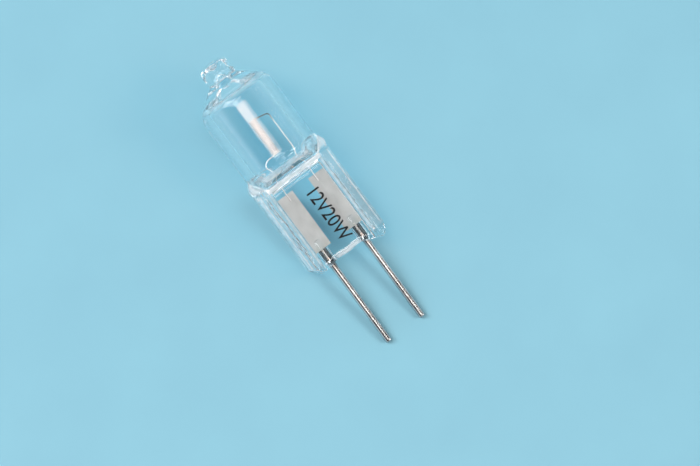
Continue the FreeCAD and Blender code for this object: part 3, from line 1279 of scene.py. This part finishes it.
@dataclass
class Foil:
    """A thin sealing foil, feathered along its long edges and rippled by the pinch."""

    bench: Bench
    side: Side
    offset: float = 1.85
    plane: float = -0.215
    bottom: float = 1.95
    width: float = 1.8
    length: float = 6.25
    thickness: float = 0.028
    feather: float = 0.3
    thinnest: float = 0.3
    ripple: float = 0.006
    ripple_pace: float = 1.6
    ripple_seed: float = 3.0
    weld_reach: float = 0.7
    columns: int = 24
    rows: int = 80

    def build(self) -> bpy.types.Object:
        """Model the foil as a sheet, rippled and then given its thickness.

        Returns:
            The standing foil.
        """
        self.bench.clear()
        bpy.ops.mesh.primitive_grid_add(x_subdivisions=self.columns, y_subdivisions=self.rows, size=1.0)
        piece = bpy.context.object
        piece.name = f"{self.side.name.lower()}_sealing_foil"
        body = piece.vertex_groups.new(name="full_thickness")
        for vertex in piece.data.vertices:
            across, along = vertex.co.x, vertex.co.y
            from_edge = (0.5 - abs(across)) * self.width
            body.add([vertex.index], max(self.thinnest, min(1.0, from_edge / self.feather)), "REPLACE")
            place = Vector((across * self.width, self.side.value * self.ripple_seed, along * self.length))
            x = self.side.value * self.offset + across * self.width
            y = self.plane + self.ripple * noise.noise(place * self.ripple_pace)
            vertex.co = (x, y, self.bottom + (along + 0.5) * self.length)
        self.bench.apply(
            piece, "SOLIDIFY", thickness=self.thickness, offset=0.0, vertex_group="full_thickness"
        )
        self.bench.face_outward(piece)
        self.bench.stain(piece, lambda place: (self.bottom + self.weld_reach - place.z) / self.weld_reach)
        return piece


@dataclass
class Filament:
    """One tungsten wire: an axial coil and two legs that run down onto the foils."""

    bench: Bench
    wire_radius: float = 0.055
    coil_radius: float = 0.37
    coil_bottom: float = 11.95
    coil_length: float = 3.9
    turns: int = 22
    turn_steps: int = 28
    wire_points: int = 12
    leg_plane: float = -0.275
    leg_offset: float = 1.65
    leg_end: float = 7.45
    leg_stub: float = 0.12
    leg_steps: int = 12
    leg_sway: float = 0.05
    sway_pace: float = 0.8
    sway_seed: Point = (5.0, 1.3)
    upper_droop: float = 0.3
    upper_bend: float = 0.4
    lower_droop: float = 0.1
    lower_bend: float = 0.8
    bend_steps: int = 10
    merge_distance: float = 0.0005
    darkening_fade: float = 0.3
    darkening_drop: float = 0.9
    darkening_run: float = 0.8
    darkening_least: float = 0.4

    @property
    def coil_top(self) -> float:
        """Height of the coil's upper end."""
        return self.coil_bottom + self.coil_length

    @property
    def coil_axis(self) -> float:
        """Place of the coil's axis, from front to back."""
        return self.leg_plane + self.coil_radius

    def build(self) -> bpy.types.Object:
        """Model the coil by screwing a round section up its axis, and add the legs.

        Returns:
            The standing filament.
        """
        self.bench.clear()
        bpy.ops.mesh.primitive_circle_add(vertices=self.wire_points, radius=self.wire_radius)
        piece = bpy.context.object
        piece.name = "coiled_filament"
        upright = Matrix.Rotation(math.pi / 2, 4, "Y")
        piece.data.transform(Matrix.Translation((0.0, -self.coil_radius, 0.0)) @ upright)
        self.bench.apply(
            piece,
            "SCREW",
            axis="Z",
            angle=2 * math.pi,
            screw_offset=self.coil_length / self.turns,
            iterations=self.turns,
            steps=self.turn_steps,
            render_steps=self.turn_steps,
        )
        piece.data.transform(Matrix.Translation((0.0, self.coil_axis, self.coil_bottom)))
        legs = [
            self.leg(Side.LEFT, self.coil_bottom, self.lower_droop, self.lower_bend),
            self.leg(Side.RIGHT, self.coil_top, self.upper_droop, self.upper_bend),
        ]
        self.bench.join(piece, *legs)
        bpy.ops.object.mode_set(mode="EDIT")
        bpy.ops.mesh.select_all(action="SELECT")
        bpy.ops.mesh.remove_doubles(threshold=self.merge_distance)
        bpy.ops.mesh.select_all(action="DESELECT")
        bpy.ops.mesh.select_interior_faces()
        bpy.ops.mesh.delete(type="FACE")
        self.bench.face_outward(piece)
        self.bench.stain(piece, self.darkened)
        return piece

    def darkened(self, place: Vector) -> float:
        """How dark a place on the wire is: only the upper leg is, near the coil.

        Args:
            place: The place on the standing wire.

        Returns:
            Share of the stain.
        """
        outside = self.coil_radius + 2 * self.wire_radius
        from_coil = math.hypot(place.x, place.y - self.coil_axis) - outside
        from_top = place.z - self.coil_top + self.darkening_drop
        return min(from_coil / self.darkening_fade, self.darkening_least + from_top / self.darkening_run)

    def leg_path(self, side: Side, coil_end: float, droop: float, bend: float) -> list[Vector]:
        """The line of a leg from the coil's end, out to its own side and down onto the foil.

        Args:
            side: Side that the leg goes to.
            coil_end: Height of the coil's end.
            droop: How far the leg falls on its way out.
            bend: Radius of its bend.

        Returns:
            Points of the line.
        """
        start = Vector((0.0, self.leg_plane, coil_end))
        corner = Vector((side.value * self.leg_offset, self.leg_plane, coil_end - droop))
        outward = (corner - start).normalized()
        down = -UPWARD
        turn = outward.angle(down)
        bend_start = corner - outward * (bend * math.tan(turn / 2))
        inward = (down - outward * outward.dot(down)).normalized()
        path = [start, start + outward * self.leg_stub, (start + bend_start) / 2]
        for i in range(self.bend_steps + 1):
            angle = turn * i / self.bend_steps
            ahead, aside = bend * math.sin(angle), bend * (1 - math.cos(angle))
            path.append(bend_start + outward * ahead + inward * aside)
        fall = path[-1]
        for share in spread(0.0, 1.0, self.leg_steps)[1:] + [1.0]:
            level = fall.z + (self.leg_end - fall.z) * share
            seed = (side.value * self.sway_seed[0], self.sway_seed[1], level * self.sway_pace)
            sway = self.leg_sway * math.sin(math.pi * share) * noise.noise(Vector(seed))
            path.append(Vector((fall.x + sway, fall.y, level)))
        return path

    def leg(self, side: Side, coil_end: float, droop: float, bend: float) -> bpy.types.Object:
        """A leg of the wire.

        Args:
            side: Side that the leg goes to.
            coil_end: Height of the coil's end.
            droop: How far the leg falls on its way out.
            bend: Radius of its bend.

        Returns:
            The standing leg.
        """
        path = self.leg_path(side, coil_end, droop, bend)
        sideways = Vector((0.0, 1.0, 0.0))
        section = ellipse(self.wire_radius, self.wire_radius, self.wire_points)
        rings = []
        for i, place in enumerate(path):
            along = Vector((side.value, 0.0, 0.0))
            if i:
                along = (path[min(i + 1, len(path) - 1)] - path[i - 1]).normalized()
            across = along.cross(sideways)
            rings.append([place + sideways * a + across * b for a, b in section])
        return self.bench.loft(f"{side.name.lower()}_leg", rings, start_web=False, end_pole=False)


@dataclass
class RatingPrint:
    """The rating printed on the front of the web, in a plain hand."""

    bench: Bench
    words: str = "12V20W"
    height: float = 2.0
    narrowing: float = 0.82
    middle: float = 4.4
    shift: float = 0.45
    face: float = -1.1
    thickness: float = 0.004
    weight: float = 0.012

    def build(self) -> bpy.types.Object:
        """Set the words along the web, from the dome to the pins.

        Returns:
            The standing print.
        """
        self.bench.clear()
        bpy.ops.object.text_add()
        piece = bpy.context.object
        piece.name = "rating_print"
        piece.data.body = self.words
        piece.data.size = self.height
        piece.data.align_x = "CENTER"
        piece.data.align_y = "CENTER"
        piece.data.extrude = self.thickness
        piece.data.offset = self.weight
        bpy.ops.object.convert(target="MESH")
        turn = Matrix(((0.0, 1.0, 0.0), (0.0, 0.0, -1.0), (-1.0, 0.0, 0.0))).to_4x4()
        place = Matrix.Translation((self.shift, self.face - self.thickness, self.middle))
        piece.data.transform(place @ turn @ Matrix.Diagonal((self.narrowing, 1.0, 1.0, 1.0)))
        return piece


# Studio


@dataclass(frozen=True)
class SoftBox:
    """A soft box that looks at the bulb."""

    name: str
    out: Vector
    length: Vector
    size: Point
    watts: float
    tone: Triple
    distance: float = 0.5

    def hang(self) -> None:
        """Hang the box, with its second side along its length."""
        out = self.out.normalized()
        side = self.length.cross(out).normalized()
        light = bpy.data.lights.new(self.name, "AREA")
        light.shape = "RECTANGLE"
        light.size, light.size_y = self.size
        light.energy = self.watts
        light.color = self.tone
        box = bpy.data.objects.new(self.name, light)
        turn = Matrix((side, out.cross(side), out)).transposed().to_4x4()
        box.matrix_world = Matrix.Translation(out * self.distance) @ turn
        bpy.context.scene.collection.objects.link(box)


@dataclass
class Studio:
    """The pale blue paper, the soft boxes and the camera."""

    paper_width: float = 3.0
    lens: float = 150.0
    nearest: float = 0.001
    farthest: float = 10.0
    azimuth: float = 52.892
    elevation: float = 80.0
    aim: Triple = (0.005134, 0.001108, 0.0025)
    distance: float = 0.27955
    right_bearing: float = -4.0
    right_height: float = 40.0
    over: Triple = (0.126, -0.045, 0.991)
    over_pins: Triple = (0.2642, -0.02, 0.9645)
    beyond: Triple = (-0.33, -0.42, 0.845)
    room_low: float = 1.3
    room_high: float = 0.04
    room_rise: float = 0.6
    room_tone: Triple = (0.87, 1.0, 1.1)
    bounces: int = 40
    glossy_bounces: int = 32

    def build(self) -> None:
        """Lay the paper, set the lights and place the camera."""
        self.paper()
        for box in self.boxes():
            box.hang()
        self.room()
        self.camera()
        scene = bpy.context.scene
        scene.view_settings.view_transform = "Standard"
        scene.cycles.caustics_reflective = False
        scene.cycles.caustics_refractive = False
        scene.cycles.max_bounces = self.bounces
        scene.cycles.glossy_bounces = self.glossy_bounces
        scene.cycles.transmission_bounces = self.bounces
        scene.cycles.transparent_max_bounces = self.bounces

    def boxes(self) -> list[SoftBox]:
        """The four soft boxes.

        Returns:
            A box at the right, a long one beyond the dome, and two narrow ones overhead.
        """
        right = self.round_the_picture(self.right_bearing, self.right_height)
        over, over_pins, beyond = Vector(self.over), Vector(self.over_pins), Vector(self.beyond)
        return [
            SoftBox("right_box", right, UPWARD, size=(0.2, 0.17), watts=1.0, tone=(1.0, 0.95, 0.9)),
            SoftBox("left_box", beyond, over - beyond, size=(0.19, 0.46), watts=1.65, tone=(1.0, 1.0, 1.0)),
            SoftBox("top_box", over, BULB_LENGTH, size=(0.3, 0.046), watts=0.21, tone=(1.0, 0.7, 0.55)),
            SoftBox("pin_box", over_pins, BULB_LENGTH, size=(0.26, 0.03), watts=0.16, tone=(1.0, 0.97, 0.94)),
        ]

    def paper(self) -> None:
        """Lay a wide sheet of pale blue paper on the table."""
        Bench.clear()
        bpy.ops.mesh.primitive_plane_add(size=self.paper_width)
        paper = bpy.context.object
        paper.name = "blue_paper"
        finish = PlainFinish(
            "blue_paper",
            dark=(0.285, 0.60, 0.745),
            light=(0.30, 0.63, 0.775),
            roughness=0.5,
            grain=90.0,
            relief=0.00002,
        )
        paper.data.materials.append(finish.material())

    def screen(self) -> tuple[Vector, Vector, Vector]:
        """Directions in the picture.

        Returns:
            The picture's right, its top, and from the bulb to the camera.
        """
        a, e = math.radians(self.azimuth), math.radians(self.elevation)
        right = Vector((math.cos(a), math.sin(a), 0.0))
        back = Vector((math.sin(a) * math.cos(e), -math.cos(a) * math.cos(e), math.sin(e)))
        return right, back.cross(right), back

    def round_the_picture(self, bearing: float, height: float) -> Vector:
        """A direction from the bulb, as the picture shows it.

        Args:
            bearing: Degrees from the picture's right towards its top.
            height: Degrees above the table.

        Returns:
            The direction.
        """
        right = self.screen()[0]
        top = UPWARD.cross(right)
        b, h = math.radians(bearing), math.radians(height)
        return (right * math.cos(b) + top * math.sin(b)) * math.cos(h) + UPWARD * math.sin(h)

    def room(self) -> None:
        """Light the room: bright near the table's level, dimmer overhead."""
        world = bpy.data.worlds.new("bright_room")
        world.use_nodes = True
        nodes, links = world.node_tree.nodes, world.node_tree.links
        place = nodes.new("ShaderNodeTexCoord")
        split = nodes.new("ShaderNodeSeparateXYZ")
        level = nodes.new("ShaderNodeMapRange")
        level.interpolation_type = "SMOOTHSTEP"
        values = {
            "From Min": 0.0, "From Max": self.room_rise, "To Min": self.room_low, "To Max": self.room_high
        }
        for key, value in values.items():
            level.inputs[key].default_value = value
        links.new(place.outputs["Generated"], split.inputs["Vector"])
        links.new(split.outputs["Z"], level.inputs["Value"])
        links.new(level.outputs["Result"], nodes["Background"].inputs["Strength"])
        nodes["Background"].inputs["Color"].default_value = (*self.room_tone, 1.0)
        bpy.context.scene.world = world

    def camera(self) -> None:
        """Place the camera at the photograph's angle."""
        right, up, back = self.screen()
        lens = bpy.data.cameras.new("camera")
        lens.lens = self.lens
        lens.clip_start = self.nearest
        lens.clip_end = self.farthest
        camera = bpy.data.objects.new("camera", lens)
        turn = Matrix((right, up, back)).transposed().to_4x4()
        camera.matrix_world = Matrix.Translation(Vector(self.aim) + back * self.distance) @ turn
        bpy.context.scene.collection.objects.link(camera)
        bpy.context.scene.camera = camera


def main() -> None:
    """Build and dress every piece, then the studio."""
    logging.basicConfig(level=logging.INFO, format="%(message)s")
    bench = Bench(frame["record"])
    pin_metal = MetalFinish(
        "drawn_pin_wire",
        dark=(0.58, 0.595, 0.595),
        light=(0.73, 0.745, 0.745),
        stain=(0.26, 0.28, 0.29),
        smooth=0.16,
        rough=0.28,
        lines=(250.0, 9000.0, 9000.0),
        relief=0.000006,
        metallic=1.0,
    )
    foil_metal = MetalFinish(
        "rolled_foil",
        dark=(0.515, 0.49, 0.476),
        light=(0.616, 0.588, 0.574),
        stain=(0.50, 0.48, 0.45),
        smooth=0.55,
        rough=0.75,
        lines=(300.0, 6000.0, 6000.0),
        relief=0.000006,
        metallic=0.15,
    )
    # The coil's pale tones, lighter than bare tungsten, are partly its own colour and partly a painted
    # highlight that makes it read as a lit white bar
    wire_metal = MetalFinish(
        "coiled_tungsten",
        dark=(0.78, 0.72, 0.71),
        # On the wire, this stain colour only darkens the upper leg near the coil's top
        light=(0.90, 0.85, 0.84),
        stain=(0.24, 0.23, 0.23),
        smooth=0.35,
        rough=0.5,
        lines=(2500.0, 2500.0, 2500.0),
        relief=0.000004,
        metallic=0.85,
    )
    ink = PlainFinish(
        "black_ink",
        dark=(0.008, 0.008, 0.009),
        light=(0.03, 0.03, 0.032),
        roughness=0.55,
        grain=3000.0,
        relief=0.000002,
    )
    quartz = QuartzFinish().material()
    bench.finish(QuartzEnvelope(bench).build(), quartz, Slot.QUARTZ, "quartz_envelope", sharp_degrees=50.0)
    wire = wire_metal.material()
    bench.finish(Filament(bench).build(), wire, Slot.TUNGSTEN, "filament", sharp_degrees=60.0)
    pin_material, foil_material = pin_metal.material(), foil_metal.material()
    for side in Side:
        pin, foil = side.node("pin"), side.node("foil")
        bench.finish(Pin(bench, side).build(), pin_material, Slot.PIN, pin, sharp_degrees=40.0)
        bench.finish(Foil(bench, side).build(), foil_material, Slot.FOIL, foil, sharp_degrees=40.0)
    bench.finish(RatingPrint(bench).build(), ink.material(), None, None, sharp_degrees=30.0)
    Studio().build()


if __name__ == "__main__":
    main()
